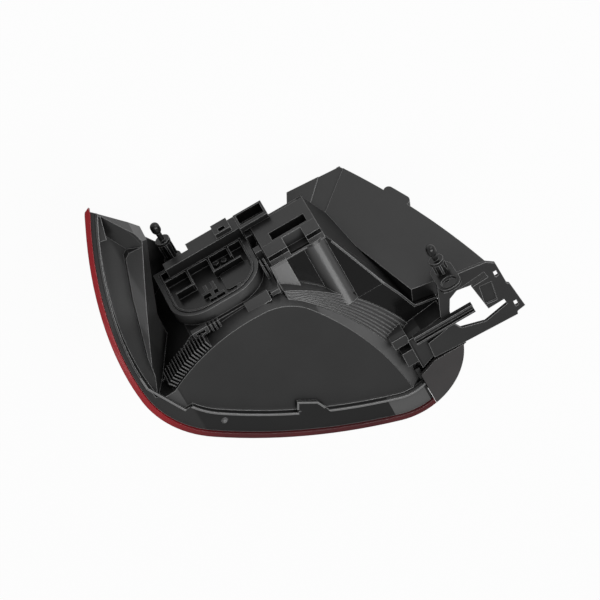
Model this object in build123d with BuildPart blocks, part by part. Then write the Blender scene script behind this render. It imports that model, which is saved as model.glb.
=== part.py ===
from build123d import *
from math import cos, radians, sin
import os

os.makedirs("parts", exist_ok=True)

# Frame in mm: +X points inboard, +Y forward, +Z up, and the outer ball stud seats at the origin.

# Lens edge in plan at the top, from the front tip of the side wing round the corner to the inboard end
wing_tip = (-49, 141)
wing_bow = (-77.4, 49.7)
wing_end = (-80, -25)
corner_end = (-45, -94)
rear_end = (100, -180.5)
inboard_end = (178, -143)
seam_x = 133.5

# Lens in the rear-quarter elevation, measured along a line turned from the car's axis
quarter_turn = 30
lens_top = 125
lens_bottom = -55
lens_lean = 38
nose = (-139, 80)
nose_foot = (-102, 22)
shoulder = -10
keel = 30
reach = 420

# Walls and fits
fit = 0.3
lens_wall = 3
skirt_depth = 4.5
housing_wall = 3
flange_width = 19
flange_drop = 2
flange_thick = 4

# Housing body
panel_top = 120
shelf_top = 100
body_split = 12
upper_front = -9
lower_front = -26
under_rake = 0.75
tower_front = -3
tower_left = 68
tower_right = 121
front_top = 78
slope_run = 59
ridge_count = 8
ridge_share = 0.35
band_drop = 7
ridge_rise = (panel_top - band_drop - shelf_top) / ridge_count
lip_height = 1.5
lip_width = 1.6
tab_corners = ((28.2, -115), (31.2, -108.6), (45.6, -118.8), (48.9, -127.5))
locator_at = (-29.7, -86.6)
locator_r = 2.6
facet_corner = (-47.5, -32)
facet_facing = (-0.456, -0.045, 0.89)
tooth_count = 16
tooth_len = 8
tooth_width = 1
tooth_span = 0.48

# Side wing behind the lens: tray floor, ridge along it and the slope beyond the ridge
wing_sink = 9
tray_rim = 6
ridge_sink = 4
ridge_from = (-19.5, 102)
ridge_to = (-53.5, 9)
wing_slope = 64
ridge_fall = -0.18
brow_point = (-40, 140, 80)
brow_facing = (0.70, 0.56, -0.45)
tip_point = (-36, 112.5, 85.8)
tip_facing = (-0.57, 0.215, 0.793)
link_from = (-70.5, -17)
link_to = (-53, -56)

# Bulb holder and its seat
holder_left = -18
holder_right = 58
holder_low = 17
holder_high = 92
holder_round = 26
holder_face = -4
holder_thick = 3
rib_thick = 1.8
rib_height = 7
seat_wall = 4
seat_face = 2
# Ribs on the holder's face: left end, low end, width and height, where none means a rib's thickness
holder_ribs = (
    (4, 31, None, 24),
    (-12, 53, 17, None),
    (24.5, 31, None, 22),
    (24.5, 52, 27, None),
    (43.5, 31, None, 15),
)
holder_pad = (27, 25)
holder_pad_at = (41, 67)
holder_pad_round = 3
holder_pad_rise = 2
# Small clips and pips beside the pad
clip_posts_at = ((12, 66), (19, 66), (15.5, 76))
clip_post = (3, 12)
clip_bars_at = ((14, 71), (18, 80))
clip_bar = (14, 3)
pips_at = ((38.5, 84), (30, 40), (37, 42))
pip_r = 2.4
pip_rise = 4

# Bulbs
bulb_r = 11
bulb_base_r = 7.5
bulb_base_len = 14
bulb_x = (0, 38)
bulb_z = (38, 72)

# Lamp tower beside the holder
collar_low = 32
collar_face = 9
collar_brink = 66.5
collar_top = 82
slot_left = 81
slot_right = 114.5
slot_low = 53.5
slot_high = 65
notch_half = 9
ledge_size = (6, 8)
prong_size = (1.5, 8)
rib_flat = 15
rib_round = 11
rib_rise = 6
rib_root = 1.5

# Latches on the edge of the shelf and a buttress behind the seat
latch_rise = 4.5
hook_x = -9
hook_size = (14, 7)
hook_gap = (8, 3)
comb_x = 4.5
comb_size = (1.5, 8)
comb_pitch = 3.6
comb_count = 3
stop_x = 62
stop_size = (8, 4)
buttress_left = 34
buttress_right = 56
buttress_root = 2.8
buttress_nose = 2
buttress_rise = 10

# Ball studs
stud_r = 4
stud_ball_r = 4.2
stud_land = 3
stud_neck_r = 2.4
stud_collar_r = 6.5
stud_collar = 3
stud_shank = 18
fin_half = 6
fin_thick = 1.8
spigot_r = 2.8
spigot_len = 10
inner_shank = 12
outer_stud_len = 40
inner_stud_len = 31
boss_r = 8
boss_len = 38
boss_foot_r = 12

# Inboard cover: corners of its sloping plate measured from the ridge corner
cover_ridge = (162, -79, 105)
cover_turn = -11.3
cover_pitch = 24.1
cover_ridge_len = 68
cover_low_left = (-61.5, 134)
cover_low_right = (-10, 140)
fold_depth = 0.8
lug_place = (24, 92)
lug_size = (26, 9)
lug_turn = -58
fold_corners = ((-28, 141), (-52, 108), (-38, 102), (-6, 139))
cover_bow = 5
cover_depth = 30
cover_wall = 2.5

# End cap
cap_front = -149
cap_step = 7
cap_step_x = 150

# Bracket
bracket_top = 125
bracket_thick = 3
ear_x = 192
ear_y = -74
ear_half = 10
ear_low = 100
ear_high = 137.5
inner_stud_z = 112
hole_z = 128
hole_r = 7
washer_room = 8
recess_at = (217, -108)
recess_size = (11, 20)
recess_turn = -8
clip_y = -110.5
clip_half = 4.2
clip_wall = 1.6
clip_height = 5
clip_from = 143
clip_to = 200

# Connector on the front of the bulb holder
bar_left = 15
bar_low = 11
bar_high = 30
bar_face = 12.5
shroud_left = 62
shroud_right = 89
shroud_face = 14
shroud_low = 12
shroud_high = 34
pin_sink = 7
shroud_wall = 2
latch_left = 41
latch_right = 56
latch_face = 17
pin_count = 5
pin_pitch = 4.4
pin_width = 2.4
pin_thick = 0.8
vent_r = 5.5
vent_x = 38
vent_z = -10
vent_len = 9
vent_edge = 1.5

# Lens sections
window_low = 22
window_high = 64
window_left = 8
window_right = 104
reflex_low = -40
reflex_high = -14
reflex_thick = 2.5
reflector_wall = 1.6
reflector_gap = 0.5

with BuildLine() as lens_line:
    wing = ThreePointArc(wing_tip, wing_bow, wing_end)
    corner = TangentArc(wing_end, corner_end, tangent=wing % 1)
    rear = TangentArc(corner_end, rear_end, tangent=corner % 1)
    TangentArc(rear_end, inboard_end, tangent=rear % 1)
lens_edge = lens_line.wires()[0]

quarter = Plane(
    origin=(0, 0, 0),
    x_dir=(sin(radians(quarter_turn)), -cos(radians(quarter_turn)), 0),
    z_dir=(-cos(radians(quarter_turn)), -sin(radians(quarter_turn)), 0),
)
brow = Plane(origin=brow_point, z_dir=brow_facing)
panel_facet = Plane(origin=(*facet_corner, panel_top), z_dir=facet_facing)
tower_plane = Plane(
    origin=(0, tower_front, front_top),
    x_dir=(1, 0, 0),
    z_dir=(0, -slope_run, shelf_top - front_top),
)


# Plan of all that lies further than depth inside the lens edge
def inside(depth):
    edge = lens_edge.offset_2d(depth, side=Side.LEFT, closed=False) if depth else lens_edge
    start, end = sorted((edge @ 0, edge @ 1), key=lambda point: point.X)
    with BuildLine() as line:
        add(edge)
        Polyline(end, (inboard_end[0] + reach, 0), (0, reach), start)
    make_face(line.edges())


# The lamp's leaning bulk, drawn in by depth
def bulk(depth, mode=Mode.ADD):
    with BuildSketch(Plane.XY.offset(lens_top)) as top:
        inside(depth)
    with BuildSketch(Plane.XY.offset(lens_bottom)) as bottom:
        inside(depth + lens_lean)
    loft([top.sketch.face(), bottom.sketch.face()], ruled=True, mode=mode)


# The rear-quarter elevation, drawn in by inset and run through the lamp
def elevation(inset, mode=Mode.INTERSECT):
    with BuildSketch(quarter) as side:
        with BuildLine():
            fall = TangentArc((shoulder, lens_top), nose, tangent=(-1, 0))
            rise = TangentArc((keel, lens_bottom), nose_foot, tangent=(-1, 0))
            Line(fall @ 1, rise @ 1)
            Polyline(rise @ 0, (reach, lens_bottom), (reach, lens_top), fall @ 0)
        make_face()
        if inset:
            offset(amount=-inset)
    extrude(side.sketch, amount=reach, both=True, mode=mode)


# A plan outline run from one level to another in the active part
def prism(outline, low, high, inset=0, mode=Mode.ADD):
    with BuildSketch(Plane.XY.offset(low)) as plan:
        outline()
        if inset:
            offset(amount=-inset)
    extrude(plan.sketch, amount=high - low, mode=mode)


# Front edge of the top panel, from its left corner to the crown, which opens to the foot of its wall
def panel_brink(share):
    start = (-52 - 4 * share, -36 + 3 * share)
    middle = (0, -15 + share)
    crown = (45 - share, -12 + 1.5 * share)
    return ThreePointArc(start, middle, crown)


# Outline of the flat top panel, which opens to the foot of its wall as share goes from 0 to 1
def panel_outline(share):
    with BuildLine() as line:
        turn = (80 - 4 * share, -33 + 12 * share)
        right = (123 + 27 * share, -172 + 47 * share)
        brink = panel_brink(share)
        bend = TangentArc(brink @ 1, turn, tangent=brink % 1)
        TangentArc(turn, right, tangent=bend % 1)
        Polyline(right, (right[0], -reach), (-reach, -reach), (-reach, -60), brink @ 0)
    make_face(line.edges())


# Plan of the body with its front wall at the given place
def body_outline(front):
    step = tower_front - upper_front
    with BuildLine() as line:
        Polyline(
            (-reach, -60),
            (-56, -34),
            (holder_left, front),
            (tower_left - 2, front),
            (tower_left, front + step),
            (tower_right, front + step),
            (152, -80),
            (158, -100),
            (178, -104),
            (178, -reach),
            (-reach, -reach),
            close=True,
        )
    make_face(line.edges())


# Plan of the side wing, on the far side of the lip's link
def wing_side():
    with BuildLine() as line:
        Polyline(
            (-reach, link_from[1]),
            link_from,
            link_to,
            (reach, link_to[1]),
            (0, reach),
            (-reach, reach),
            close=True,
        )
    make_face(line.edges())


# Stretch of the flange's lip that the tab takes the place of
def tab_gap():
    with BuildLine() as line:
        Polyline(tab_corners[0], tab_corners[-1], (52, -136), (27, -120), close=True)
    make_face(line.edges())


# Body of the housing, drawn in by inset: upper and lower part, top panel and the slope beside the tower
def body(inset):
    prism(lambda: body_outline(upper_front), body_split + inset, shelf_top - inset, inset)
    foot_level = lens_bottom + flange_drop + inset
    prism(lambda: body_outline(lower_front), foot_level, body_split + 2 * abs(inset), inset)
    prism(lambda: panel_outline(0), shelf_top - 2 * abs(inset), panel_top - inset, inset)
    with BuildSketch(Plane.YZ.offset(tower_left)) as slope:
        with BuildLine():
            Polyline(
                (tower_front + 40, front_top - inset),
                (tower_front, front_top - inset),
                (tower_front - slope_run, shelf_top - inset),
                (tower_front - slope_run, shelf_top + 1),
                (tower_front + 40, shelf_top + 1),
                close=True,
            )
        make_face()
    extrude(slope.sketch, amount=reach, mode=Mode.SUBTRACT)
    with BuildSketch(panel_facet.offset(-inset)) as facet:
        Rectangle(100, 100)
    extrude(facet.sketch, amount=panel_top - shelf_top, mode=Mode.SUBTRACT)
    below = body_split - lens_bottom
    start = lower_front + tower_front - upper_front - 1.3 * inset
    with BuildSketch(Plane.YZ.offset(-reach)) as rake:
        with BuildLine():
            Polyline(
                (start, body_split),
                (start - under_rake * below, lens_bottom),
                (reach, lens_bottom),
                (reach, body_split),
                close=True,
            )
        make_face()
    extrude(rake.sketch, amount=2 * reach, mode=Mode.SUBTRACT)


# Chamber of the side wing, drawn in by inset, with the slope that falls away from its ridge
def wing_chamber(inset):
    with BuildSketch(Plane.XY.offset(lens_bottom)) as plan:
        with BuildLine():
            Polyline(
                (-reach, 180),
                (-46, 148),
                (-14, 110),
                (-8, 92),
                (-20, 58),
                (-34, 14),
                (-36, -40),
                (-reach, -66),
                close=True,
            )
        make_face()
        if inset:
            offset(amount=-inset)
    extrude(plan.sketch, amount=lens_top - lens_bottom)
    run = (Vector(*ridge_from) - Vector(*ridge_to)).normalized()
    steep = sin(radians(wing_slope))
    fall = Plane(
        origin=(*ridge_to, lens_top - ridge_sink - inset),
        x_dir=(run.X, run.Y, ridge_fall),
        z_dir=(run.Y * steep, -run.X * steep, cos(radians(wing_slope))),
    )
    with BuildSketch(fall) as face:
        Rectangle(reach, reach)
    extrude(face.sketch, amount=reach, mode=Mode.SUBTRACT)


# Cuts the active part along the raked brow at the front of the wing, drawn in by inset
def brow_cut(inset):
    with BuildSketch(brow.offset(-inset)) as face:
        Rectangle(2 * reach, 2 * reach)
    extrude(face.sketch, amount=reach, mode=Mode.SUBTRACT)


# Outline of the bulb holder on its upright plane, grown on every side
def holder_outline(grow, mode=Mode.ADD):
    with BuildSketch() as outline:
        with Locations(((holder_left + holder_right) / 2, (holder_low + holder_high) / 2)):
            Rectangle(holder_right - holder_left + 2 * grow, holder_high - holder_low + 2 * grow)
        fillet(outline.vertices().group_by(Axis.Y)[-1], holder_round + grow)
    add(outline.sketch, mode=mode)


# Block that takes in the pale section of the lens, drawn in by inset
def window_block(inset, mode=Mode.INTERSECT):
    with BuildSketch(Plane.XZ) as face:
        with Locations(((window_left + window_right) / 2, (window_low + window_high) / 2)):
            RectangleRounded(window_right - window_left - 2 * inset, window_high - window_low - 2 * inset, 6)
    extrude(face.sketch, amount=reach, mode=mode)


# Ball stud along +Y: spigot, shank, collar, neck and a ball with a round land
def ball_stud(x, y, z, shank, length):
    with BuildSketch(Plane(origin=(x, y, z), x_dir=(1, 0, 0), z_dir=(0, 0, 1))) as profile:
        with BuildLine():
            ball_y = length - stud_ball_r - stud_land / 2
            Polyline(
                (0, -spigot_len),
                (spigot_r, -spigot_len),
                (spigot_r, 0),
                (stud_r, 0),
                (stud_r, shank),
                (stud_collar_r, shank),
                (stud_collar_r, shank + stud_collar),
                (stud_neck_r, shank + stud_collar),
                (stud_neck_r, ball_y),
                (0, ball_y),
                close=True,
            )
        make_face()
        with Locations((0, ball_y)):
            SlotCenterToCenter(stud_land, 2 * stud_ball_r, rotation=90)
        split(bisect_by=Plane.YZ, keep=Keep.TOP)
    revolve(profile.sketch, Axis((x, y, z), (0, 1, 0)))
    with BuildSketch(Plane(origin=(x, y + fin_thick, z), x_dir=(1, 0, 0), z_dir=(0, 1, 0))) as fins:
        Rectangle(2 * fin_half, fin_thick)
        Rectangle(fin_thick, 2 * fin_half)
    extrude(fins.sketch, amount=shank - fin_thick)


# Cuts the active part off below the given level
def bowl_floor(level):
    with BuildSketch(Plane.XY.offset(level)) as plan:
        Rectangle(2 * reach, 2 * reach)
    extrude(plan.sketch, amount=-reach, mode=Mode.SUBTRACT)


# Upright plane at the given place, looking rearwards
def upright(y):
    return Plane.XZ.offset(-y)


with BuildPart() as lens_hollow:
    bulk(lens_wall)
    elevation(lens_wall)

# Outer lens: a leaning wall, turned in as a skirt along its top and bottom edge
with BuildPart() as outer_lens:
    bulk(0)
    elevation(0)
    add(lens_hollow.part, mode=Mode.SUBTRACT)
    bulk(skirt_depth, mode=Mode.SUBTRACT)
    brow_cut(-lens_wall)
    with BuildSketch(Plane.XY.offset(lens_bottom)):
        with Locations((seam_x, 0)):
            Rectangle(reach, 2 * reach, align=(Align.MAX, Align.CENTER))
    extrude(amount=lens_top - lens_bottom, mode=Mode.INTERSECT)
    window_block(0, mode=Mode.SUBTRACT)
outer_lens.part.label = "outer_lens"
export_step(outer_lens.part, "parts/outer_lens.step")

# End cap: goes on round the inboard corner where the lens stops
with BuildPart() as lens_end_cap:
    bulk(0)
    elevation(0)
    add(lens_hollow.part, mode=Mode.SUBTRACT)
    with BuildSketch(Plane.XY.offset(lens_bottom)):
        with BuildLine():
            Polyline(
                (seam_x + fit, -reach),
                (seam_x + fit, cap_front),
                (cap_step_x, cap_front + cap_step),
                (inboard_end[0] + reach, cap_front + cap_step),
                (inboard_end[0] + reach, -reach),
                close=True,
            )
        make_face()
    extrude(amount=lens_top - lens_bottom, mode=Mode.INTERSECT)
lens_end_cap.part.label = "lens_end_cap"
export_step(lens_end_cap.part, "parts/lens_end_cap.step")

# Housing: flange strips and the weld foot that stands under the lens skirt
with BuildPart() as flange:
    bulk(skirt_depth + fit)
    bulk(skirt_depth + flange_width, mode=Mode.SUBTRACT)
    elevation(flange_drop)
    elevation(flange_drop + flange_thick, mode=Mode.SUBTRACT)
    prism(wing_side, lens_bottom, lens_top, mode=Mode.SUBTRACT)

# The flange is narrow along the wing
with BuildPart() as wing_flange:
    bulk(skirt_depth + fit)
    bulk(skirt_depth + tray_rim, mode=Mode.SUBTRACT)
    elevation(flange_drop)
    elevation(flange_drop + flange_thick, mode=Mode.SUBTRACT)

# Lip on the inner edge of the flange, with a jog round its tab
with BuildPart() as flange_lip:
    bulk(skirt_depth + flange_width - lip_width)
    bulk(skirt_depth + flange_width, mode=Mode.SUBTRACT)
    elevation(flange_drop - lip_height)
    elevation(flange_drop + 1, mode=Mode.SUBTRACT)
    prism(wing_side, lens_bottom, lens_top, mode=Mode.SUBTRACT)
    prism(tab_gap, lens_bottom, lens_top, mode=Mode.SUBTRACT)

with BuildPart() as wing_lip:
    bulk(skirt_depth + tray_rim - lip_width)
    bulk(skirt_depth + tray_rim, mode=Mode.SUBTRACT)
    elevation(flange_drop - lip_height)
    elevation(flange_drop + 1, mode=Mode.SUBTRACT)
    prism(wing_side, lens_bottom, lens_top, mode=Mode.INTERSECT)

flange_top = lens_top - flange_drop
with BuildPart() as lip_runs:
    with BuildSketch(Plane.XY.offset(flange_top - 1)):
        with BuildLine():
            Line(link_from, link_to)
        trace(line_width=lip_width)
        with BuildLine():
            Polyline(*tab_corners)
        trace(line_width=lip_width)
    extrude(amount=lip_height + 1)

with BuildPart() as foot:
    bulk(lens_wall + fit)
    bulk(skirt_depth + 2, mode=Mode.SUBTRACT)
    elevation(lens_wall + fit)
    elevation(lens_wall + fit + flange_thick, mode=Mode.SUBTRACT)

# Housing: body with the ridged wall round its top panel, and the wing chamber
with BuildPart() as ridged_wall:
    for step in range(ridge_count):
        share = 1 - (1 - ridge_share) * step / (ridge_count - 1)
        prism(lambda: panel_outline(share), front_top, shelf_top + ridge_rise * (step + 1))
    with BuildSketch(Plane.XY.offset(front_top)):
        with Locations((tower_left, 0)):
            Rectangle(reach, 2 * reach, align=(Align.MIN, Align.CENTER))
    extrude(amount=panel_top - front_top, mode=Mode.INTERSECT)

with BuildPart() as body_outer:
    body(0)
    add(ridged_wall.part)
    prism(lambda: panel_outline(ridge_share), shelf_top - 1, panel_top - band_drop)
    with BuildSketch(Plane.XY.offset(panel_top - band_drop)) as band_foot:
        panel_outline(ridge_share)
    with BuildSketch(Plane.XY.offset(panel_top)) as band_rim:
        panel_outline(0)
    loft([band_foot.sketch.face(), band_rim.sketch.face()], ruled=True)
    # Comb of teeth along the left of the panel
    with BuildLine(mode=Mode.PRIVATE):
        brink = panel_brink(0)
    with BuildSketch(Plane.XY.offset(shelf_top - 1)) as comb:
        for tooth in range(tooth_count):
            place = tooth_span * (tooth + 1) / tooth_count
            spot = brink @ place
            with Locations(Location((spot.X, spot.Y, 0), (0, 0, brink.tangent_angle_at(place)))):
                Rectangle(tooth_width, 2 * tooth_len)
    extrude(comb.sketch, amount=panel_top - tooth_width - shelf_top)
    bulk(skirt_depth + fit, mode=Mode.INTERSECT)

with BuildPart() as wing_outer:
    wing_chamber(0)
    bulk(skirt_depth + fit, mode=Mode.INTERSECT)
    elevation(flange_drop)
    brow_cut(0)

# Housing: the hollows that open towards the lens
with BuildPart() as hollow:
    body(housing_wall)
    bulk(lens_wall + fit, mode=Mode.INTERSECT)
    elevation(flange_drop + flange_thick)

with BuildPart() as wing_hollow:
    wing_chamber(housing_wall)
    bulk(lens_wall + fit, mode=Mode.INTERSECT)
    elevation(wing_sink + housing_wall)
    brow_cut(housing_wall)

with BuildPart() as wing_tray:
    bulk(skirt_depth + tray_rim)
    elevation(0)
    elevation(wing_sink, mode=Mode.SUBTRACT)
    with BuildSketch(Plane.XY.offset(lens_bottom)):
        with BuildLine():
            Polyline(
                (-reach, -30),
                (-62, -30),
                (-57, 8),
                (-42.5, 60.5),
                (-30.5, 93.5),
                (-26, 97),
                tip_point[:2],
                (-reach, 128),
                close=True,
            )
        make_face()
    extrude(amount=reach, mode=Mode.INTERSECT)

with BuildPart() as tip_facet:
    with BuildSketch(Plane(origin=tip_point, z_dir=tip_facing)):
        Rectangle(reach, reach)
    extrude(amount=reach)
    with BuildSketch(Plane.XY.offset(lens_bottom)):
        with BuildLine():
            Polyline(tip_point[:2], (-26, 97), (-5, 98), (10, 150), (-30, 150), (-30, 133), close=True)
        make_face()
    extrude(amount=reach, mode=Mode.INTERSECT)

with BuildPart() as housing:
    add(flange.part)
    add(wing_flange.part)
    add(flange_lip.part)
    add(wing_lip.part)
    add(foot.part)
    brow_cut(0)
    with BuildSketch(Plane.XY.offset(lens_bottom)):
        with Locations((seam_x - fit, 0)):
            Rectangle(reach, 2 * reach, align=(Align.MAX, Align.CENTER))
    extrude(amount=lens_top - lens_bottom, mode=Mode.INTERSECT)
    add(body_outer.part)
    add(wing_outer.part)
    add(hollow.part, mode=Mode.SUBTRACT)
    add(wing_hollow.part, mode=Mode.SUBTRACT)
    add(wing_tray.part, mode=Mode.SUBTRACT)
    add(tip_facet.part, mode=Mode.SUBTRACT)
    # Seat of the bulb holder, with the opening for the bulbs
    with BuildSketch(upright(seat_face)):
        holder_outline(seat_wall)
        holder_outline(fit, mode=Mode.SUBTRACT)
    extrude(amount=seat_face - upper_front)
    with BuildSketch(upright(upper_front + 1)):
        holder_outline(-seat_wall)
    extrude(amount=housing_wall + 2, mode=Mode.SUBTRACT)
    # Ribs of the tower that run up the slope to the ridged wall
    with BuildSketch(tower_plane):
        with Locations((tower_right - rib_round, rib_rise - rib_round)):
            Circle(rib_round)
        with Locations((tower_left, -rib_root)):
            Rectangle(tower_right, rib_round * 2, align=(Align.MIN, Align.MAX), mode=Mode.SUBTRACT)
            Rectangle(rib_flat, rib_rise + rib_root, align=(Align.MIN, Align.MIN))
    extrude(amount=slope_run * 1.06)
    # Collar across the front of the tower, with a sloping brink, a slot and a notch
    with BuildSketch(Plane.YZ.offset(tower_left + 2)):
        with BuildLine():
            Polyline(
                (tower_front - 1, collar_low),
                (collar_face, collar_low),
                (collar_face, collar_brink),
                (tower_front, collar_top),
                (tower_front - 1, collar_top),
                close=True,
            )
        make_face()
    extrude(amount=tower_right - tower_left - 2)
    with BuildSketch(upright(collar_face)):
        with Locations(((slot_left + slot_right) / 2, (slot_low + slot_high) / 2)):
            Rectangle(slot_right - slot_left, slot_high - slot_low)
        with Locations(((slot_left + slot_right) / 2, collar_brink + 1)):
            Rectangle(2 * notch_half, collar_top - collar_brink - 2, align=(Align.CENTER, Align.MIN))
    extrude(amount=collar_face - tower_front, mode=Mode.SUBTRACT)
    # Ledges and prongs where the tower meets the seat of the holder
    with BuildSketch(upright(collar_face - 2)):
        with Locations((tower_left - 2, collar_low), (tower_left - 2, collar_brink - ledge_size[1])):
            Rectangle(*ledge_size, align=(Align.CENTER, Align.MIN))
        with Locations((tower_left - 5, front_top), (tower_left - 1.5, front_top)):
            Rectangle(*prong_size, align=(Align.CENTER, Align.MIN))
    extrude(amount=collar_face - 2 - upper_front + 1)
    # Latches on the edge of the shelf above the seat, and a buttress against the panel's wall
    with BuildSketch(Plane.XY.offset(shelf_top - 1)):
        with Locations((hook_x, upper_front)):
            Rectangle(*hook_size)
            Rectangle(*hook_gap, mode=Mode.SUBTRACT)
        with Locations((comb_x, upper_front - 1)):
            with GridLocations(comb_pitch, 1, comb_count, 1):
                Rectangle(*comb_size)
        with Locations((stop_x, upper_front - 2)):
            Rectangle(*stop_size)
    extrude(amount=latch_rise + 1)
    with BuildSketch(Plane.YZ.offset(buttress_left)):
        with BuildLine():
            Polyline(
                (upper_front - buttress_root, shelf_top - 1),
                (upper_front + buttress_nose, shelf_top - 1),
                (upper_front + buttress_nose, shelf_top + 1),
                (upper_front - buttress_root, shelf_top + buttress_rise),
                close=True,
            )
        make_face()
    extrude(amount=buttress_right - buttress_left)
    # Boss of the outer ball stud
    with Locations(Location((0, -boss_len, 0), (-90, 0, 0))):
        Cone(boss_foot_r, boss_r, boss_len, align=(Align.CENTER, Align.CENTER, Align.MIN))
    with Locations(Location((0, 0, 0), (-90, 0, 0))):
        Hole(spigot_r + fit, spigot_len + 1)
    # Deck that carries the bracket and the clip
    with BuildSketch(Plane.XY.offset(shelf_top - 1)):
        with BuildLine():
            Polyline((138, -112), (176, -106), (176, -138), (152, -139), (138, -145), close=True)
        make_face()
    extrude(amount=bracket_top - bracket_thick - shelf_top + 1)
    # Stepped blocks between the ridged wall and the deck
    with BuildSketch(Plane.XY.offset(shelf_top - 1)):
        with Locations((132, -110)):
            Rectangle(14, 9)
        with Locations((134, -130)):
            Rectangle(12, 15)
    extrude(amount=panel_top - shelf_top + 2)
    # Tab on the inner edge of the flange, the rest of its lip and a locating pip
    with BuildSketch(Plane.XY.offset(flange_top - flange_thick)):
        with BuildLine():
            Polyline(*tab_corners, (52, -134), (30, -120), close=True)
        make_face()
    extrude(amount=flange_thick)
    add(lip_runs.part)
    with Locations((*locator_at, flange_top)):
        Cone(locator_r, locator_r / 2, lip_height, align=(Align.CENTER, Align.CENTER, Align.MIN))
housing.part.label = "housing"
export_step(housing.part, "parts/housing.step")

# Inboard cover: a tray whose floor is the sloping plate
cover_turned = Plane(origin=cover_ridge, x_dir=(cos(radians(cover_turn)), sin(radians(cover_turn)), 0))
cover_plane = Plane(
    origin=cover_ridge,
    x_dir=cover_turned.x_dir,
    z_dir=cover_turned.y_dir * cos(radians(cover_pitch)) + Vector(0, 0, sin(radians(cover_pitch))),
)
with BuildPart() as body_room:
    body(-fit)
with BuildPart() as side_cover:
    with BuildSketch(cover_plane) as plate:
        with BuildLine():
            Polyline((cover_ridge_len, 0), (0, 0), (-37, 81), (-66, 122), cover_low_left, cover_low_right)
            SagittaArc(cover_low_right, (cover_ridge_len, 0), cover_bow)
        make_face()
    extrude(amount=-cover_depth)
    with BuildSketch(cover_plane.offset(-cover_wall)):
        add(plate.sketch_local)
        offset(amount=-cover_wall)
    extrude(amount=-cover_depth, mode=Mode.SUBTRACT)
    # Lug on the far edge and the shallow fold across the low end
    with BuildSketch(cover_plane.offset(-cover_depth / 2)):
        with Locations(Location((*lug_place, 0), (0, 0, lug_turn))):
            SlotOverall(*lug_size)
    extrude(amount=cover_depth / 2)
    with BuildSketch(cover_plane):
        with BuildLine():
            Polyline(*fold_corners, close=True)
        make_face()
    extrude(amount=-fold_depth, mode=Mode.SUBTRACT)
    add(body_room.part, mode=Mode.SUBTRACT)
side_cover.part.label = "side_cover"
export_step(side_cover.part, "parts/side_cover.step")

# Pale lens section in the window of the lens
with BuildPart() as clear_window:
    bulk(0)
    add(lens_hollow.part, mode=Mode.SUBTRACT)
    window_block(fit / 2)
    with BuildSketch(Plane.XY.offset(lens_bottom)):
        with Locations((0, -60)):
            Rectangle(2 * reach, reach, align=(Align.CENTER, Align.MAX))
    extrude(amount=lens_top - lens_bottom, mode=Mode.INTERSECT)
clear_window.part.label = "clear_window"
export_step(clear_window.part, "parts/clear_window.step")

# Prism plate behind the lower lens
with BuildPart() as reflex_reflector:
    bulk(lens_wall + fit)
    bulk(lens_wall + fit + reflex_thick, mode=Mode.SUBTRACT)
    with BuildSketch(Plane.XZ) as face:
        with Locations(((window_left + window_right) / 2, (reflex_low + reflex_high) / 2)):
            RectangleRounded(window_right - window_left, reflex_high - reflex_low, 4)
    extrude(amount=reach, mode=Mode.INTERSECT)
    with BuildSketch(Plane.XY.offset(lens_bottom)):
        with Locations((0, -60)):
            Rectangle(2 * reach, reach, align=(Align.CENTER, Align.MAX))
    extrude(amount=lens_top - lens_bottom, mode=Mode.INTERSECT)
reflex_reflector.part.label = "reflex_reflector"
export_step(reflex_reflector.part, "parts/reflex_reflector.step")

# Reflector: a thin bowl that lines the housing and opens towards the lens
with BuildPart() as bowl_hollow:
    body(housing_wall + reflector_gap + reflector_wall)
    bowl_floor(body_split + housing_wall + reflector_gap + reflector_wall)
with BuildPart() as reflector:
    body(housing_wall + reflector_gap)
    bulk(skirt_depth + flange_width + 2, mode=Mode.INTERSECT)
    bowl_floor(body_split + housing_wall + reflector_gap)
    add(bowl_hollow.part, mode=Mode.SUBTRACT)
    with BuildSketch(upright(upper_front)):
        holder_outline(-seat_wall + 1)
    extrude(amount=housing_wall + 8, mode=Mode.SUBTRACT)
reflector.part.label = "reflector"
export_step(reflector.part, "parts/reflector.step")

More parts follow.
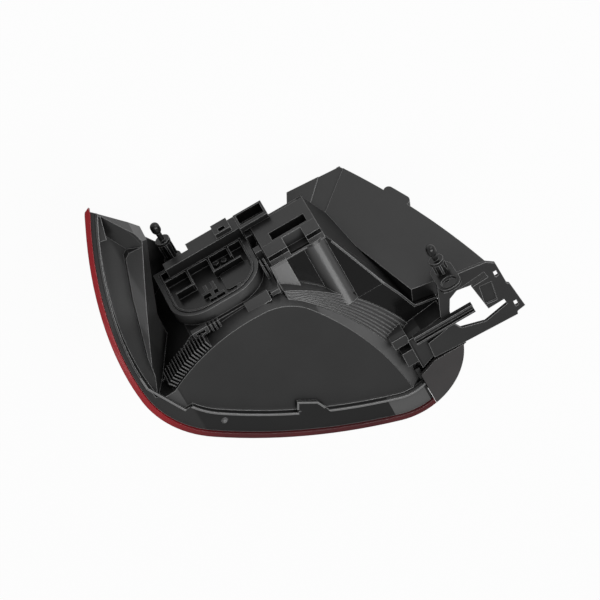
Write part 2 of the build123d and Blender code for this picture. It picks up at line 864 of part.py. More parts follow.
# Bulb holder: plate with a rim, ribs, flat pad, connector bar, latch and shroud
holder_back = holder_face - holder_thick
rib_face = holder_face + rib_height
with BuildPart() as bulb_holder:
    with BuildSketch(upright(holder_face)):
        holder_outline(0)
    extrude(amount=holder_thick)
    with BuildSketch(upright(rib_face)):
        holder_outline(0)
        holder_outline(-rib_thick, mode=Mode.SUBTRACT)
        with Locations(((holder_left + holder_right) / 2, bar_high + 1)):
            Rectangle(holder_right - holder_left - 4, rib_thick)
        for x, z, wide, high in holder_ribs:
            with Locations((x, z)):
                Rectangle(wide or rib_thick, high or rib_thick, align=(Align.MIN, Align.MIN))
    extrude(amount=rib_height)
    with BuildSketch(upright(holder_face + holder_pad_rise)):
        with Locations(holder_pad_at):
            RectangleRounded(*holder_pad, holder_pad_round)
    extrude(amount=holder_pad_rise + 1)
    with BuildSketch(upright(holder_face + pip_rise)):
        with Locations(*clip_posts_at):
            Rectangle(*clip_post)
        with Locations(*clip_bars_at):
            Rectangle(*clip_bar)
        with Locations(*pips_at):
            Circle(pip_r)
    extrude(amount=pip_rise + 1)
    with BuildSketch(upright(bar_face)):
        with Locations((bar_left, bar_low)):
            Rectangle(shroud_left - bar_left + 1, bar_high - bar_low, align=(Align.MIN, Align.MIN))
    extrude(amount=bar_face - seat_face - fit)
    with BuildSketch(upright(bar_face)):
        with Locations((holder_left + 8, holder_low + 3)):
            Rectangle(60, bar_high - holder_low - 3, align=(Align.MIN, Align.MIN))
    extrude(amount=bar_face - holder_face)
    with BuildSketch(upright(latch_face)):
        with Locations((latch_left, bar_low + 2)):
            Rectangle(latch_right - latch_left, bar_high - bar_low - 4, align=(Align.MIN, Align.MIN))
        with Locations(((latch_left + latch_right) / 2, bar_high - 6)):
            Rectangle(6, 5, mode=Mode.SUBTRACT)
    extrude(amount=latch_face - bar_face)
    with BuildSketch(upright(shroud_face)):
        with Locations((shroud_left, shroud_low)):
            Rectangle(shroud_right - shroud_left, shroud_high - shroud_low, align=(Align.MIN, Align.MIN))
    extrude(amount=shroud_face - collar_face - fit)
    with BuildSketch(upright(collar_face + fit + 1)):
        with Locations((shroud_left, shroud_low)):
            Rectangle(
                shroud_right - shroud_left,
                collar_low - fit - shroud_low,
                align=(Align.MIN, Align.MIN),
            )
    extrude(amount=collar_face - seat_face + 1)
    with BuildSketch(upright(shroud_face)):
        with Locations((shroud_left + shroud_wall, shroud_low + shroud_wall)):
            Rectangle(
                shroud_right - shroud_left - 2 * shroud_wall,
                collar_low - fit - shroud_low - 2 * shroud_wall,
                align=(Align.MIN, Align.MIN),
            )
    extrude(amount=shroud_face - seat_face - fit - shroud_wall, mode=Mode.SUBTRACT)
bulb_holder.part.label = "bulb_holder"
export_step(bulb_holder.part, "parts/bulb_holder.step")

with BuildPart() as connector_pins:
    pin_back = seat_face + fit + shroud_wall
    with BuildSketch(upright(shroud_face - pin_sink)):
        with Locations(((shroud_left + shroud_right) / 2, (shroud_low + collar_low) / 2)):
            with GridLocations(pin_pitch, 1, pin_count, 1):
                Rectangle(pin_thick, pin_width)
    extrude(amount=shroud_face - pin_sink - pin_back)
connector_pins.part.label = "connector_pins"
export_step(connector_pins.part, "parts/connector_pins.step")

with BuildPart() as holder_seal:
    with BuildSketch(upright(holder_back)):
        holder_outline(-fit)
        holder_outline(-seat_wall, mode=Mode.SUBTRACT)
    extrude(amount=holder_back - upper_front)
holder_seal.part.label = "holder_seal"
export_step(holder_seal.part, "parts/holder_seal.step")

# Bulbs on the back of the holder
for name, x, z in (
    ("stop_bulb", bulb_x[0], bulb_z[1]),
    ("tail_bulb", bulb_x[1], bulb_z[1]),
    ("indicator_bulb", bulb_x[0], bulb_z[0]),
    ("reverse_bulb", bulb_x[1], bulb_z[0]),
):
    with BuildPart() as bulb:
        with BuildSketch(Plane(origin=(x, holder_back, z), x_dir=(1, 0, 0), z_dir=(0, 0, -1))) as profile:
            with BuildLine():
                Polyline(
                    (0, 0),
                    (bulb_base_r, 0),
                    (bulb_base_r, bulb_base_len),
                    (bulb_r, bulb_base_len + 0.8 * bulb_r),
                    (0.6 * bulb_r, bulb_base_len + 1.7 * bulb_r),
                    (0, bulb_base_len + 1.8 * bulb_r),
                    close=True,
                )
            make_face()
        revolve(profile.sketch, Axis((x, holder_back, z), (0, 1, 0)))
    bulb.part.label = name
    export_step(bulb.part, f"parts/{name}.step")

with BuildPart() as contact_strips:
    with BuildSketch(upright(holder_back)):
        with Locations(((bulb_x[0] + bulb_x[1]) / 2, (bulb_z[0] + bulb_z[1]) / 2)):
            Rectangle(bulb_x[1] - bulb_x[0] + 14, 5)
            Rectangle(6, bulb_z[1] - bulb_z[0] + 14)
    extrude(amount=1)
contact_strips.part.label = "contact_strips"
export_step(contact_strips.part, "parts/contact_strips.step")

with BuildPart() as outer_ball_stud:
    ball_stud(0, 0, 0, stud_shank, outer_stud_len)
outer_ball_stud.part.label = "outer_ball_stud"
export_step(outer_ball_stud.part, "parts/outer_ball_stud.step")

with BuildPart() as inner_ball_stud:
    ball_stud(ear_x, ear_y, inner_stud_z, inner_shank, inner_stud_len)
inner_ball_stud.part.label = "inner_ball_stud"
export_step(inner_ball_stud.part, "parts/inner_ball_stud.step")

# Bracket: flat frame with a window and a tab, and the standing ear for stud and fixing
with BuildPart() as mounting_bracket:
    with BuildSketch(Plane.XY.offset(bracket_top - bracket_thick)):
        with BuildLine():
            Polyline(
                (151, -139),
                (178, -141),
                (231, -143.5),
                (232, -140.5),
                (240, -139),
                (237, -111),
                (235, -109),
                (234, -84),
                (227, ear_y - 4),
                (ear_x + ear_half, ear_y),
                (ear_x - ear_half, ear_y),
                (172, -104),
                (172, -119),
                (152, -123),
                close=True,
            )
        make_face()
        with BuildLine():
            Polyline(
                (194, -89),
                (222, -86),
                (223, -93),
                (207, -94),
                (211, -122.5),
                (226.5, -122),
                (227, -128),
                (204, -133),
                (183, -126),
                (179, -118),
                (181, -104),
                (186, -93),
                close=True,
            )
        make_face(mode=Mode.SUBTRACT)
        with Locations((230.3, -94), (234, -132)):
            Rectangle(3, 6, mode=Mode.SUBTRACT)
        with Locations((ear_x, ear_y)):
            Rectangle(2 * hole_r + 1, 2 * (bracket_thick + washer_room), mode=Mode.SUBTRACT)
    extrude(amount=bracket_thick)
    with BuildSketch(Plane.XY.offset(bracket_top)):
        with Locations(Location((*recess_at, 0), (0, 0, recess_turn))):
            Rectangle(*recess_size)
    extrude(amount=-bracket_thick / 2, mode=Mode.SUBTRACT)
    with BuildSketch(upright(ear_y)):
        with Locations((ear_x, (ear_low + ear_high) / 2)):
            RectangleRounded(2 * ear_half, ear_high - ear_low, 8)
        with Locations((ear_x, hole_z)):
            Circle(hole_r, mode=Mode.SUBTRACT)
        with Locations((ear_x, inner_stud_z)):
            Circle(spigot_r + fit, mode=Mode.SUBTRACT)
    extrude(amount=bracket_thick)
mounting_bracket.part.label = "mounting_bracket"
export_step(mounting_bracket.part, "parts/mounting_bracket.step")

# Slide clip: a channel that lies along the bracket
with BuildPart() as slide_clip:
    with BuildSketch(Plane.YZ.offset(clip_from)):
        with Locations((clip_y, bracket_top)):
            Rectangle(2 * clip_half, clip_height, align=(Align.CENTER, Align.MIN))
        with Locations((clip_y, bracket_top + clip_wall)):
            Rectangle(
                2 * (clip_half - clip_wall), clip_height, align=(Align.CENTER, Align.MIN), mode=Mode.SUBTRACT
            )
    extrude(amount=clip_to - clip_from)
slide_clip.part.label = "slide_clip"
export_step(slide_clip.part, "parts/slide_clip.step")

# Breather cap, square to the raked front under the holder
rake_top = lower_front + tower_front - upper_front
vent_plane = Plane(
    origin=(vent_x, rake_top - under_rake * (body_split - vent_z), vent_z),
    x_dir=(1, 0, 0),
    z_dir=(0, 1, -under_rake),
)
with BuildPart() as vent_cap:
    with BuildSketch(vent_plane):
        Circle(vent_r)
    extrude(amount=vent_len)
    chamfer(vent_cap.faces().sort_by(Axis.Y)[-1].edges(), vent_edge)
vent_cap.part.label = "vent_cap"
export_step(vent_cap.part, "parts/vent_cap.step")
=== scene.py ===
from math import cos, pi, radians, sin

import bmesh
import bpy
from mathutils import Matrix, Vector


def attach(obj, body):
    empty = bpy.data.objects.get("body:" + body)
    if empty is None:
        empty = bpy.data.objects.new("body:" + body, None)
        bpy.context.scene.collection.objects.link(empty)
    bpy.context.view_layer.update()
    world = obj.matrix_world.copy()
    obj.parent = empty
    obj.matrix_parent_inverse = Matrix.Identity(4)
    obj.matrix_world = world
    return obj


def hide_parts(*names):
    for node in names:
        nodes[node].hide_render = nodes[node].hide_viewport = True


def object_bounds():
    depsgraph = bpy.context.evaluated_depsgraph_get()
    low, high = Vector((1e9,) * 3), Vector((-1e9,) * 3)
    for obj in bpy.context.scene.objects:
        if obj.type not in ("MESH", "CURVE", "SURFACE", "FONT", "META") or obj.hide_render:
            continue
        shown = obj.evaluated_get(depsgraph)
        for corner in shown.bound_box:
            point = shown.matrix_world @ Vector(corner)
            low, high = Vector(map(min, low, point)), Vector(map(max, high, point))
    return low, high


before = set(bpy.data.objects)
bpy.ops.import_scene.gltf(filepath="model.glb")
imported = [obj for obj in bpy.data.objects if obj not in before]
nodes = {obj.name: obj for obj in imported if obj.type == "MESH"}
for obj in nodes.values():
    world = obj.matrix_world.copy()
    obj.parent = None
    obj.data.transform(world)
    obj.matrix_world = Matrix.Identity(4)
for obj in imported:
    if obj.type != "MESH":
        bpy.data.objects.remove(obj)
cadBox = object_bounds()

scene = bpy.context.scene


# A shader value: Python operators on it add Math nodes
class Value:
    def __init__(self, finish, socket):
        self.finish = finish
        self.socket = socket

    def maths(self, operation, a, b=0):
        return self.finish.node("ShaderNodeMath", {"operation": operation}, {0: a, 1: b})

    def __add__(self, other):
        return self.maths("ADD", self, other)

    def __radd__(self, other):
        return self.maths("ADD", other, self)

    def __sub__(self, other):
        return self.maths("SUBTRACT", self, other)

    def __rsub__(self, other):
        return self.maths("SUBTRACT", other, self)

    def __mul__(self, other):
        return self.maths("MULTIPLY", self, other)

    def __rmul__(self, other):
        return self.maths("MULTIPLY", other, self)

    def __truediv__(self, other):
        return self.maths("DIVIDE", self, other)

    def __rtruediv__(self, other):
        return self.maths("DIVIDE", other, self)

    def __gt__(self, other):
        return self.maths("GREATER_THAN", self, other)

    def __lt__(self, other):
        return self.maths("LESS_THAN", self, other)

    def __abs__(self):
        return self.maths("ABSOLUTE", self)


sampling = {"edge": 6, "openness": 8}  # rays of the Bevel and Ambient Occlusion nodes


# One material, or the world: its nodes all come from node()
class Finish:
    def __init__(self, owner):
        self.owner = owner
        owner.use_nodes = True
        self.tree = owner.node_tree
        self.tree.nodes.clear()

    def node(self, kind, settings=None, sockets=None, output=0):
        made = self.tree.nodes.new(kind)
        for key, value in (settings or {}).items():
            if key == "stops":
                self.setStops(made.color_ramp, value)
            else:
                setattr(made, key, value)
        for key, value in (sockets or {}).items():
            self.feed(made.inputs[key], value)
        return Value(self, made.outputs[output]) if made.outputs else None

    def setStops(self, ramp, stops):
        while len(ramp.elements) < len(stops):
            ramp.elements.new(1)
        for element, (place, colour) in zip(ramp.elements, stops):
            element.position = place
            element.color = colour

    def feed(self, socket, value):
        if isinstance(value, Value):
            self.tree.links.new(value.socket, socket)
        else:
            socket.default_value = value

    def clamp(self, value):
        return self.node("ShaderNodeClamp", None, {"Value": value})

    def dot(self, a, b):
        return self.node(
            "ShaderNodeVectorMath",
            {"operation": "DOT_PRODUCT"},
            {0: a, 1: b},
            output="Value",
        )

    def mix(self, amount, a, b):
        return self.node("ShaderNodeMix", {"data_type": "RGBA"}, {0: amount, 6: a, 7: b}, output=2)

    def mixVectors(self, amount, a, b):
        return self.node("ShaderNodeMix", {"data_type": "VECTOR"}, {0: amount, 4: a, 5: b}, output=1)

    def spot(self):
        return self.node("ShaderNodeTexCoord", output="Object")

    # One coordinate of a spot
    def along(self, axis, spot):
        return self.node("ShaderNodeSeparateXYZ", None, {0: spot}, output=axis)

    def place(self, scale=(1, 1, 1)):
        return self.node("ShaderNodeMapping", None, {"Vector": self.spot(), "Scale": scale})

    def noise(self, size, detail=2, roughness=0.5):
        return self.node(
            "ShaderNodeTexNoise",
            None,
            {"Vector": self.place(), "Scale": 1 / size, "Detail": detail, "Roughness": roughness},
        )

    # Share that grows smoothly from one place to another along an axis
    def ramp(self, axis, start, end):
        return self.node(
            "ShaderNodeMapRange",
            {"interpolation_type": "SMOOTHSTEP"},
            {"Value": self.along(axis, self.spot()), "From Min": start, "From Max": end},
        )

    def flat(self):
        return self.node("ShaderNodeNewGeometry", output="Normal")

    def rounded(self, radius):
        return self.node("ShaderNodeBevel", {"samples": sampling["edge"]}, {"Radius": radius})

    # A relief pressed on the surface
    def relief(self, height, depth, normal):
        return self.node(
            "ShaderNodeBump",
            None,
            {"Height": height, "Distance": depth, "Strength": 1, "Normal": normal},
        )

    # Share of open room above a point, low in corners and recesses
    def openness(self, room):
        return self.node(
            "ShaderNodeAmbientOcclusion",
            {"samples": sampling["openness"]},
            {"Distance": room},
            output="AO",
        )

    # Edges that stand proud, where rounding turns the surface and nothing crowds it
    def proudEdge(self, radius, room, gain):
        turned = 1 - self.dot(self.flat(), self.rounded(radius))
        return self.clamp(turned * gain * self.openness(room))

    # Rays that see the pale backdrop itself, and the share of it that gloss and glass show
    def backdropRays(self, mirrored):
        camera = self.node("ShaderNodeLightPath", output="Is Camera Ray")
        glossy = self.node("ShaderNodeLightPath", output="Is Glossy Ray")
        through = self.node("ShaderNodeLightPath", output="Is Transmission Ray")
        return self.clamp(camera + (glossy + through) * mirrored)

    def surface(self, sockets):
        made = self.node("ShaderNodeBsdfPrincipled", None, sockets)
        self.node("ShaderNodeOutputMaterial", None, {"Surface": made})
        return self.owner


def material(name):
    return Finish(bpy.data.materials.new(name))


def solid(colour):
    return (*colour, 1)


def grey(tone):
    return (tone, tone, tone, 1)


# Moulded black plastics: grain, faint flow marks, painted shade in recesses and painted highlights on
# proud edges
mouldings = {
    "housingPlastic": {"tone": 0.021, "rough": 0.32, "grain": 0.0006, "depth": 0.00003},
    "coverPlastic": {"tone": 0.030, "rough": 0.44, "grain": 0.0005, "depth": 0.00004},
    "holderPlastic": {"tone": 0.010, "rough": 0.32, "grain": 0.0007, "depth": 0.00003},
    "bracketPlastic": {"tone": 0.017, "rough": 0.34, "grain": 0.0006, "depth": 0.00004},
    "studPlastic": {"tone": 0.006, "rough": 0.30, "grain": 0.0008, "depth": 0.00002},
}
# What the plastics share; dark and pale are parts of a plastic's own tone, the share kept in recesses
# is painted shade and the pale tone on proud edges is a painted highlight
moulding = {
    "flow": {"size": 0.045, "detail": 3},
    "dust": {"size": 0.012, "detail": 4, "roughness": 0.6},
    "flowShare": 0.7,
    "dustShare": 0.3,
    "dark": 0.85,
    "pale": 1.15,
    "smoother": 0.06,
    "flowRough": 0.08,
    "grainRough": 0.06,
    "room": 0.014,
    "paintedRecessShade": 0.25,
    "edge": 0.0008,
    "edgeRoom": 0.0032,
    "edgeGain": 7,
    "paintedHighlightShare": 0.9,
    "brink": 0.36,
}


# The slope beside the lamp tower is smooth and painted black with shade between its ribs, which carry
# a painted highlight, and shaded as if level
slopeFloor = {
    "point": (0.0675, -0.062, 0.100),
    "facing": (0, 0.3494, 0.937),
    "level": (0, 0, 1),
    "thick": 0.0008,
    "tone": 0.004,
    "rough": -0.16,
}
# The wing's tray has painted shade at its foot and a painted highlight towards its tip
wingTray = {
    "foot": {"side": -0.045, "soft": 0.004, "from": 0.075, "to": 0.030, "tone": 0.004, "rough": 0.25},
    "head": {"side": -0.032, "soft": 0.004, "from": 0.030, "to": 0.075, "tone": 0.050},
}
# Stretches of the housing, as boxes, two of them with a change of roughness. The ridged wall, panel
# rim, flange lip, tower ribs, seat rim, flange end, panel toe and collar brink carry painted
# highlights, the shelf and side wall painted shade; the flange face is darker and the tower top paler
housingZones = {
    "ridgedWall": {"low": (-0.034, -0.176, 0.1006), "high": (0.152, 0.0, 0.1197), "tone": 0.050},
    "panelRim": {"low": (0.085, -0.176, 0.1128), "high": (0.152, 0.0, 0.1197), "tone": 0.090},
    "flangeLip": {"low": (-0.120, -0.200, 0.1233), "high": (0.140, 0.060, 0.1250), "tone": 0.130},
    "towerRibs": {"low": (0.0675, -0.066, 0.070), "high": (0.1215, -0.0035, 0.1006), "tone": 0.060},
    "seatRim": {"low": (-0.023, -0.0086, 0.010), "high": (0.063, 0.0028, 0.098), "tone": 0.055},
    "flangeFace": {"low": (-0.120, -0.200, 0.1215), "high": (0.140, 0.060, 0.1232), "tone": 0.007},
    "flangeEnd": {"low": (0.098, -0.200, 0.1215), "high": (0.131, -0.130, 0.1232), "tone": 0.085},
    "panelToe": {"low": (-0.080, -0.080, 0.1192), "high": (-0.0495, -0.030, 0.1205), "tone": 0.050},
    "shelf": {
        "low": (0.0675, -0.125, 0.0990),
        "high": (0.180, -0.055, 0.1004),
        "tone": 0.004,
        "rough": -0.15,
    },
    "towerTop": {"low": (0.060, 0.0090, 0.060), "high": (0.130, 0.040, 0.090), "tone": 0.036},
    "collarBrink": {"low": (0.0695, -0.0035, 0.0662), "high": (0.122, 0.0089, 0.083), "tone": 0.045},
    "sideWall": {
        "low": (0.116, -0.090, -0.060),
        "high": (0.165, 0.0, 0.0765),
        "tone": 0.002,
        "rough": 0.4,
    },
}
zoneStrength = {"least": 0.8, "flow": 0.4}
# Where the flange meets the end cap its edge gets no painted highlight
capJoint = {"low": (0.1310, -0.200, 0.110), "high": (0.138, -0.140, 0.130)}
# The ear of the bracket is black
bracketEar = {"low": (0.178, -0.084, 0.1256), "high": (0.206, -0.064, 0.140), "tone": 0.004}
# The cover's plate is grained and its side walls carry painted shade
coverPlate = {"facing": (0.179, 0.895, 0.408), "least": 0.7, "wall": 0.004}


# Share of a point in the slope's own surface: full within its thickness, none at twice that
def slopeShare(finish):
    run = finish.node(
        "ShaderNodeVectorMath",
        {"operation": "SUBTRACT"},
        {0: finish.spot(), 1: slopeFloor["point"]},
    )
    height = abs(finish.dot(run, slopeFloor["facing"]))
    share = finish.clamp(2 - height / slopeFloor["thick"])
    for axis in "XY":
        share = share * (finish.along(axis, run) > 0)
    return share


# Share of a point in a box
def boxShare(finish, box):
    spot = finish.spot()
    share = 1
    for axis, least, most in zip("XYZ", box["low"], box["high"]):
        along = finish.along(axis, spot)
        share = share * (along > least) * (along < most)
    return share


# Painted highlights, painted shade and other tones of the housing's tray, slope and zones, with their
# roughness
def housingPaintedLightAndTones(finish, flow, slope, plain, rough):
    # Painted shade at the tray's foot and a painted highlight towards its tip
    for end in wingTray.values():
        share = finish.ramp("X", end["side"], end["side"] - end["soft"])
        share = share * finish.ramp("Y", end["from"], end["to"])
        plain = finish.mix(share, plain, grey(end["tone"]))
        if "rough" in end:
            rough = rough + share * end["rough"]
    # Painted shade on the slope between the tower's ribs
    plain = finish.mix(slope, plain, grey(slopeFloor["tone"]))
    strength = zoneStrength["least"] + flow * zoneStrength["flow"]
    for zone in housingZones.values():
        share = boxShare(finish, zone) * (1 - slope)
        plain = finish.mix(share * strength, plain, grey(zone["tone"]))
        if "rough" in zone:
            rough = rough + share * zone["rough"]
    return plain, rough + slope * slopeFloor["rough"]


def mouldedPlastic(name, look):
    finish = material(name)
    tone = look["tone"]
    flow = finish.noise(**moulding["flow"])
    grain = finish.noise(look["grain"])
    dust = finish.noise(**moulding["dust"])
    marks = flow * moulding["flowShare"] + dust * moulding["dustShare"]
    plain = finish.mix(marks, grey(tone * moulding["dark"]), grey(tone * moulding["pale"]))
    rough = look["rough"] - moulding["smoother"]
    rough = rough + flow * moulding["flowRough"] + grain * moulding["grainRough"]
    # Painted highlight: a pale tone laid along proud edges, where the rounded normal turns
    edge = finish.proudEdge(moulding["edge"], moulding["edgeRoom"], moulding["edgeGain"])
    paintedHighlightShare = edge * moulding["paintedHighlightShare"]
    normal = finish.rounded(moulding["edge"])
    if name == "housingPlastic":
        slope = slopeShare(finish)
        plain, rough = housingPaintedLightAndTones(finish, flow, slope, plain, rough)
        paintedHighlightShare = paintedHighlightShare * (1 - boxShare(finish, capJoint))
        normal = finish.mixVectors(slope, normal, slopeFloor["level"])
    if name == "bracketPlastic":
        plain = finish.mix(boxShare(finish, bracketEar), plain, grey(bracketEar["tone"]))
    if name == "coverPlastic":
        # Painted shade on the cover's side walls
        plate = finish.dot(finish.flat(), coverPlate["facing"]) > coverPlate["least"]
        plain = finish.mix(plate, grey(coverPlate["wall"]), plain)
    # Painted shade: the colour turns darker where there is little open room, in corners and recesses
    toneWithPaintedRecessShade = finish.mix(finish.openness(moulding["room"]), grey(tone * moulding["paintedRecessShade"]), plain)
    return finish.surface(
        {
            "Base Color": finish.mix(paintedHighlightShare, toneWithPaintedRecessShade, grey(moulding["brink"])),
            "Roughness": rough,
            "Normal": finish.relief(grain, look["depth"], normal),
        }
    )


# Clear mouldings with optic flutes on them
lenses = {
    "redLens": {
        "dark": (0.040, 0.004, 0.006),
        "bright": (0.36, 0.008, 0.014),
        "clear": 0.15,
        "flute": 0.004,
        "rough": 0.3,
    },
    "clearLens": {
        "dark": (0.70, 0.66, 0.62),
        "bright": (0.86, 0.84, 0.82),
        "clear": 0.75,
        "flute": 0.0035,
        "rough": 0.05,
    },
    "reflexRed": {
        "dark": (0.22, 0.004, 0.008),
        "bright": (0.40, 0.012, 0.016),
        "clear": 0.25,
        "flute": 0.002,
        "rough": 0.08,
    },
}
# What the clear mouldings share
lensBody = {
    "cloud": 0.03,
    "cloudRough": 0.06,
    "relief": 0.00004,
    "edge": 0.0008,
    "bend": 1.49,
    "coat": 0.2,
    "coatRough": 0.2,
}
# The lens is clear red along the side wing and a darker red across the rear
rearDarkening = {"from": -0.115, "to": -0.030, "ramp": 0.8, "cloud": 0.2}
wavePeriod = pi / 10  # length of one band of a Wave node at a scale of 1


def clearMoulding(name, look):
    finish = material(name)
    flutes = finish.node(
        "ShaderNodeTexWave",
        {"wave_type": "BANDS", "bands_direction": "X", "wave_profile": "SIN"},
        {"Vector": finish.place(), "Scale": wavePeriod / look["flute"]},
        output="Fac",
    )
    cloud = finish.noise(lensBody["cloud"])
    depth = cloud
    if name == "redLens":
        # Darker red towards the rear
        depth = finish.ramp("Y", rearDarkening["from"], rearDarkening["to"]) * rearDarkening["ramp"] + cloud * rearDarkening["cloud"]
    return finish.surface(
        {
            "Base Color": finish.mix(depth, solid(look["dark"]), solid(look["bright"])),
            "Roughness": look["rough"] + cloud * lensBody["cloudRough"],
            "Normal": finish.relief(flutes, lensBody["relief"], finish.rounded(lensBody["edge"])),
            "Transmission Weight": look["clear"],
            "IOR": lensBody["bend"],
            "Coat Weight": lensBody["coat"],
            "Coat Roughness": lensBody["coatRough"],
        }
    )


# Metallised bowl with long facets
bowl = {
    "stretch": (1, 0.4, 1),
    "facets": 90,
    "bright": 0.80,
    "dark": 0.62,
    "rough": 0.10,
    "facetRough": 0.10,
    "relief": 0.0008,
    "edge": 0.001,
}


def metallisedBowl():
    finish = material("metallised")
    facets = finish.node(
        "ShaderNodeTexVoronoi",
        {"feature": "F1"},
        {"Vector": finish.place(bowl["stretch"]), "Scale": bowl["facets"]},
    )
    return finish.surface(
        {
            "Base Color": finish.mix(facets, grey(bowl["bright"]), grey(bowl["dark"])),
            "Roughness": bowl["rough"] + facets * bowl["facetRough"],
            "Metallic": 1,
            "Normal": finish.relief(facets, bowl["relief"], finish.rounded(bowl["edge"])),
        }
    )


# Finishes with one pattern in their colour, gloss and relief: haze, grain or tarnish
patterned = {
    "capGloss": {
        "pattern": {"size": 0.02, "detail": 3},
        "colours": ((0.032, 0.032, 0.032), (0.0484, 0.044, 0.044)),
        "rough": 0.16,
        "patternRough": 0.10,
        "relief": 0.00004,
        "edge": 0.0012,
        "body": {"Coat Weight": 0.4, "Coat Roughness": 0.08},
    },
    "sealRubber": {
        "pattern": {"size": 0.001, "detail": 3},
        "colours": ((0.014, 0.014, 0.014), (0.026, 0.026, 0.026)),
        "rough": 0.75,
        "patternRough": 0.15,
        "relief": 0.00006,
        "edge": 0.0006,
        "body": {},
    },
    "contactBrass": {
        "pattern": {"size": 0.006, "detail": 4},
        "colours": ((0.60, 0.42, 0.18), (0.78, 0.60, 0.32)),
        "rough": 0.22,
        "patternRough": 0.2,
        "relief": 0.00003,
        "edge": 0.0002,
        "body": {"Metallic": 1},
    },
    "clearGlass": {
        "pattern": {"size": 0.008},
        "colours": ((0.95, 0.96, 0.97), (0.855, 0.864, 0.873)),
        "rough": 0.03,
        "patternRough": 0.04,
        "relief": 0.00005,
        "edge": 0.0004,
        "body": {"Transmission Weight": 0.9, "IOR": 1.5},
    },
    "amberGlass": {
        "pattern": {"size": 0.008},
        "colours": ((0.95, 0.42, 0.05), (0.855, 0.378, 0.045)),
        "rough": 0.03,
        "patternRough": 0.04,
        "relief": 0.00005,
        "edge": 0.0004,
        "body": {"Transmission Weight": 0.9, "IOR": 1.5},
    },
}


def patternedFinish(name, look):
    finish = material(name)
    pattern = finish.noise(**look["pattern"])
    first, second = look["colours"]
    return finish.surface(
        {
            "Base Color": finish.mix(pattern, solid(first), solid(second)),
            "Roughness": look["rough"] + pattern * look["patternRough"],
            "Normal": finish.relief(pattern, look["relief"], finish.rounded(look["edge"])),
            **look["body"],
        }
    )


finishes = {name: mouldedPlastic(name, look) for name, look in mouldings.items()}
finishes.update({name: clearMoulding(name, look) for name, look in lenses.items()})
finishes.update({name: patternedFinish(name, look) for name, look in patterned.items()})
finishes["metallised"] = metallisedBowl()
print("finishes", len(finishes))


# Finish and slot of each CAD node's copy
dressing = {
    "outer_lens": ("redLens", "red_lens"),
    "clear_window": ("clearLens", "clear_lens"),
    "lens_end_cap": ("capGloss", "gloss_black"),
    "housing": ("housingPlastic", "housing_black"),
    "reflector": ("metallised", "metallised"),
    "reflex_reflector": ("reflexRed", "reflex_red"),
    "bulb_holder": ("holderPlastic", "holder_black"),
    "holder_seal": ("sealRubber", "seal_rubber"),
    "stop_bulb": ("clearGlass", "bulb_glass"),
    "tail_bulb": ("clearGlass", "bulb_glass"),
    "indicator_bulb": ("amberGlass", "amber_glass"),
    "reverse_bulb": ("clearGlass", "bulb_glass"),
    "contact_strips": ("contactBrass", "contact_brass"),
    "connector_pins": ("contactBrass", "contact_brass"),
    "outer_ball_stud": ("studPlastic", "stud_black"),
    "inner_ball_stud": ("studPlastic", "stud_black"),
    "side_cover": ("coverPlastic", "cover_black"),
    "mounting_bracket": ("bracketPlastic", "bracket_black"),
    "slide_clip": ("bracketPlastic", "bracket_black"),
    "vent_cap": ("holderPlastic", "holder_black"),
}
smoothing = {"merge": 0.000002, "crease": radians(16)}


# A merged copy of a CAD node with smooth curves and crisp edges, which stands for it
def smoothCopy(node):
    shape = bmesh.new()
    shape.from_mesh(nodes[node].data)
    bmesh.ops.remove_doubles(shape, verts=shape.verts, dist=smoothing["merge"])
    mesh = bpy.data.meshes.new(node + "Smooth")
    shape.to_mesh(mesh)
    shape.free()
    if "custom_normal" in mesh.attributes:
        mesh.attributes.remove(mesh.attributes["custom_normal"])
    for face in mesh.polygons:
        face.use_smooth = True
    mesh.set_sharp_from_angle(angle=smoothing["crease"])
    mesh.materials.clear()
    piece = bpy.data.objects.new(node + "Smooth", mesh)
    scene.collection.objects.link(piece)
    weigh = piece.modifiers.new("weigh", "WEIGHTED_NORMAL")
    weigh.keep_sharp = True
    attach(piece, "root")
    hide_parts(node)
    return piece


for node, (finish, slot) in dressing.items():
    piece = smoothCopy(node)
    piece.data.materials.append(finishes[finish])
print("dressed", len(dressing))


# Gives a sheet its thickness
def thicken(shape, thick):
    bmesh.ops.recalc_face_normals(shape, faces=shape.faces[:])
    bmesh.ops.solidify(shape, geom=shape.faces[:], thickness=thick)
    bmesh.ops.recalc_face_normals(shape, faces=shape.faces[:])


# A strip that runs along a path, as wide and thick as given
def layRibbon(shape, path, width, thick):
    first, *others = (Vector(point) for point in path)
    tip = shape.verts.new(first)
    for point in others:
        tip = bmesh.ops.extrude_vert_indiv(shape, verts=[tip])["verts"][0]
        tip.co = point
    raised = bmesh.ops.extrude_edge_only(shape, edges=shape.edges[:])["geom"]
    edge = [part for part in raised if isinstance(part, bmesh.types.BMVert)]
    bmesh.ops.translate(shape, verts=edge, vec=width)
    thicken(shape, thick)


# A piece of trim that CAD leaves to this script
def addTrim(name, shape, finish):
    mesh = bpy.data.meshes.new(name)
    shape.to_mesh(mesh)
    shape.free()
    mesh.materials.append(finishes[finish])
    piece = bpy.data.objects.new(name, mesh)
    scene.collection.objects.link(piece)
    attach(piece, "root")


# Raised rim along the edge of the housing's shelf, beside the cover
shelfRim = {
    "path": (
        (0.1228, -0.010, 0.0800),
        (0.1438, -0.062, 0.0994),
        (0.1510, -0.080, 0.0994),
        (0.1572, -0.0990, 0.0994),
        (0.1650, -0.1006, 0.0994),
        (0.1770, -0.1030, 0.0994),
    ),
    "height": 0.0026,
    "thick": 0.0018,
}


def makeShelfRim():
    shape = bmesh.new()
    layRibbon(shape, shelfRim["path"], (0, 0, shelfRim["height"]), shelfRim["thick"])
    addTrim("shelfRim", shape, "housingPlastic")


makeShelfRim()
print("shelf rim")


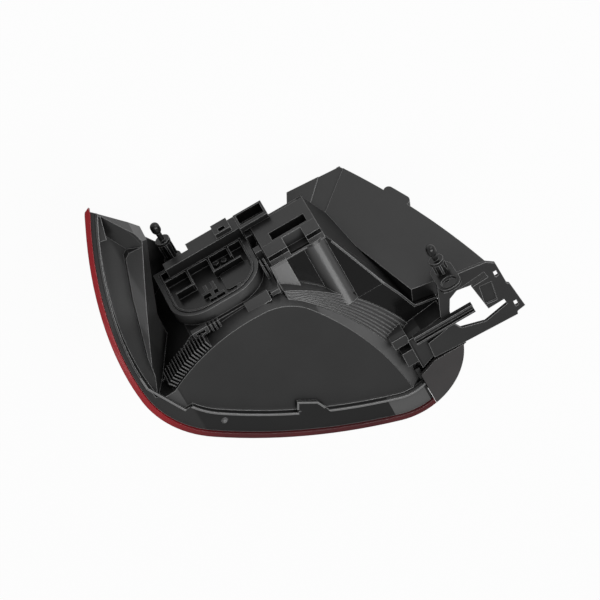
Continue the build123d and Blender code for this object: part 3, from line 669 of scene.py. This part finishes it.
# Seal behind the joint of lens and end cap, down the inside of their wall
endSeal = {
    "path": ((0.1315, -0.1460, 0.1178), (0.1315, -0.1672, 0.1178), (0.1315, -0.1610, 0.0920)),
    "width": 0.0040,
    "thick": 0.0008,
}


def makeEndSeal():
    shape = bmesh.new()
    layRibbon(shape, endSeal["path"], (endSeal["width"], 0, 0), endSeal["thick"])
    addTrim("endSeal", shape, "sealRubber")


makeEndSeal()
print("end seal")


# Web that closes the corner between the side wing and the boss of the outer stud
wingWeb = {
    "floor": (
        (0.004, -0.001, -0.009),
        (0.004, -0.037, -0.009),
        (-0.037, -0.037, -0.009),
        (-0.0355, 0.014, -0.009),
        (-0.0236, 0.048, -0.009),
    ),
    "foot": ((-0.034, 0.020, -0.032), (0.004, -0.028, -0.040)),
    "thick": 0.0025,
}


def makeWingWeb():
    shape = bmesh.new()
    floor = [shape.verts.new(corner) for corner in wingWeb["floor"]]
    foot = [shape.verts.new(corner) for corner in wingWeb["foot"]]
    for corners in (floor, (floor[0], floor[-1], foot[0]), (floor[0], *foot)):
        bmesh.ops.contextual_create(shape, geom=corners)
    thicken(shape, wingWeb["thick"])
    addTrim("wingWeb", shape, "housingPlastic")


makeWingWeb()
print("wing web")


# Camera at the photograph's angle, far off with a long lens
view = {
    "target": Vector((0.0761, -0.0565, 0.0692)),
    "tilt": radians(36.5),
    "roll": radians(30),
    "distance": 3.0,
    "across": 0.510,
    "sensor": 36,
    "reach": 20,
}


def makeCamera():
    lens = bpy.data.cameras.new("camera")
    lens.sensor_width = view["sensor"]
    lens.lens = view["sensor"] * view["distance"] / view["across"]
    lens.clip_end = view["reach"]
    eye = bpy.data.objects.new("camera", lens)
    scene.collection.objects.link(eye)
    back = Vector((0, sin(view["tilt"]), cos(view["tilt"])))
    level = Vector((1, 0, 0))
    right = Matrix.Rotation(-view["roll"], 3, back) @ level
    turn = Matrix((right, back.cross(right), back)).transposed().to_4x4()
    eye.matrix_world = Matrix.Translation(view["target"] + back * view["distance"]) @ turn
    scene.camera = eye


makeCamera()
print("camera set")


# Soft studio: a pale floor, a white wall all round under a dim ceiling, and two softboxes
studio = {
    "floor": {"reach": 3.0, "drop": 0.0005, "cloud": 0.4, "dark": 0.54, "pale": 0.58, "white": 0.96},
    "mirrored": 0.4,
    "lampDistance": 1.6,
    "lamps": {
        "key": {"from": (0.20, -0.06, 1.0), "wide": 1.4, "deep": 0.65, "power": 17},
        "front": {"from": (0.55, 0.75, 0.36), "wide": 1.6, "deep": 0.7, "power": 6},
    },
    "surround": 0.32,
    "wall": ((0.30, grey(1)), (0.60, grey(0.15))),
}


def makeFloor(centre, bottom):
    look = studio["floor"]
    shape = bmesh.new()
    bmesh.ops.create_grid(shape, x_segments=1, y_segments=1, size=look["reach"])
    bmesh.ops.translate(shape, verts=shape.verts, vec=(centre.x, centre.y, bottom - look["drop"]))
    mesh = bpy.data.meshes.new("floor")
    shape.to_mesh(mesh)
    shape.free()
    floor = bpy.data.objects.new("floor", mesh)
    scene.collection.objects.link(floor)
    finish = material("paleFloor")
    tone = finish.mix(finish.noise(look["cloud"]), grey(look["dark"]), grey(look["pale"]))
    matt = finish.node("ShaderNodeBsdfDiffuse", None, {"Color": tone})
    glow = finish.node("ShaderNodeEmission", None, {"Color": grey(1), "Strength": 1})
    seen = finish.backdropRays(studio["mirrored"]) * look["white"]
    blend = finish.node("ShaderNodeMixShader", None, {0: seen, 1: matt, 2: glow})
    finish.node("ShaderNodeOutputMaterial", None, {"Surface": blend})
    mesh.materials.append(finish.owner)


def makeLamp(name, lamp, centre):
    light = bpy.data.lights.new(name, "AREA")
    light.shape = "RECTANGLE"
    light.size = lamp["wide"]
    light.size_y = lamp["deep"]
    light.energy = lamp["power"]
    holder = bpy.data.objects.new(name, light)
    scene.collection.objects.link(holder)
    away = Vector(lamp["from"]).normalized()
    across = Vector((0, 1, 0)).cross(away).normalized()
    turn = Matrix((across, away.cross(across), away)).transposed()
    holder.location = centre + away * studio["lampDistance"]
    holder.rotation_mode = "QUATERNION"
    holder.rotation_quaternion = turn.to_quaternion()


def makeSurround():
    sky = Finish(bpy.data.worlds.new("surround"))
    heading = sky.node("ShaderNodeTexCoord", output="Generated")
    wall = sky.node("ShaderNodeValToRGB", {"stops": studio["wall"]}, {0: sky.along("Z", heading)})
    seen = sky.node("ShaderNodeBackground", None, {"Color": wall, "Strength": 1})
    light = sky.node("ShaderNodeBackground", None, {"Color": grey(1), "Strength": studio["surround"]})
    rays = sky.backdropRays(studio["mirrored"])
    blend = sky.node("ShaderNodeMixShader", None, {0: rays, 1: light, 2: seen})
    sky.node("ShaderNodeOutputWorld", None, {"Surface": blend})
    scene.world = sky.owner


def makeStudio():
    low, high = cadBox
    centre = (low + high) / 2
    makeFloor(centre, low.z)
    for name, lamp in studio["lamps"].items():
        makeLamp(name, lamp, centre)
    makeSurround()
    scene.view_settings.view_transform = "Standard"


makeStudio()
print("studio ready")
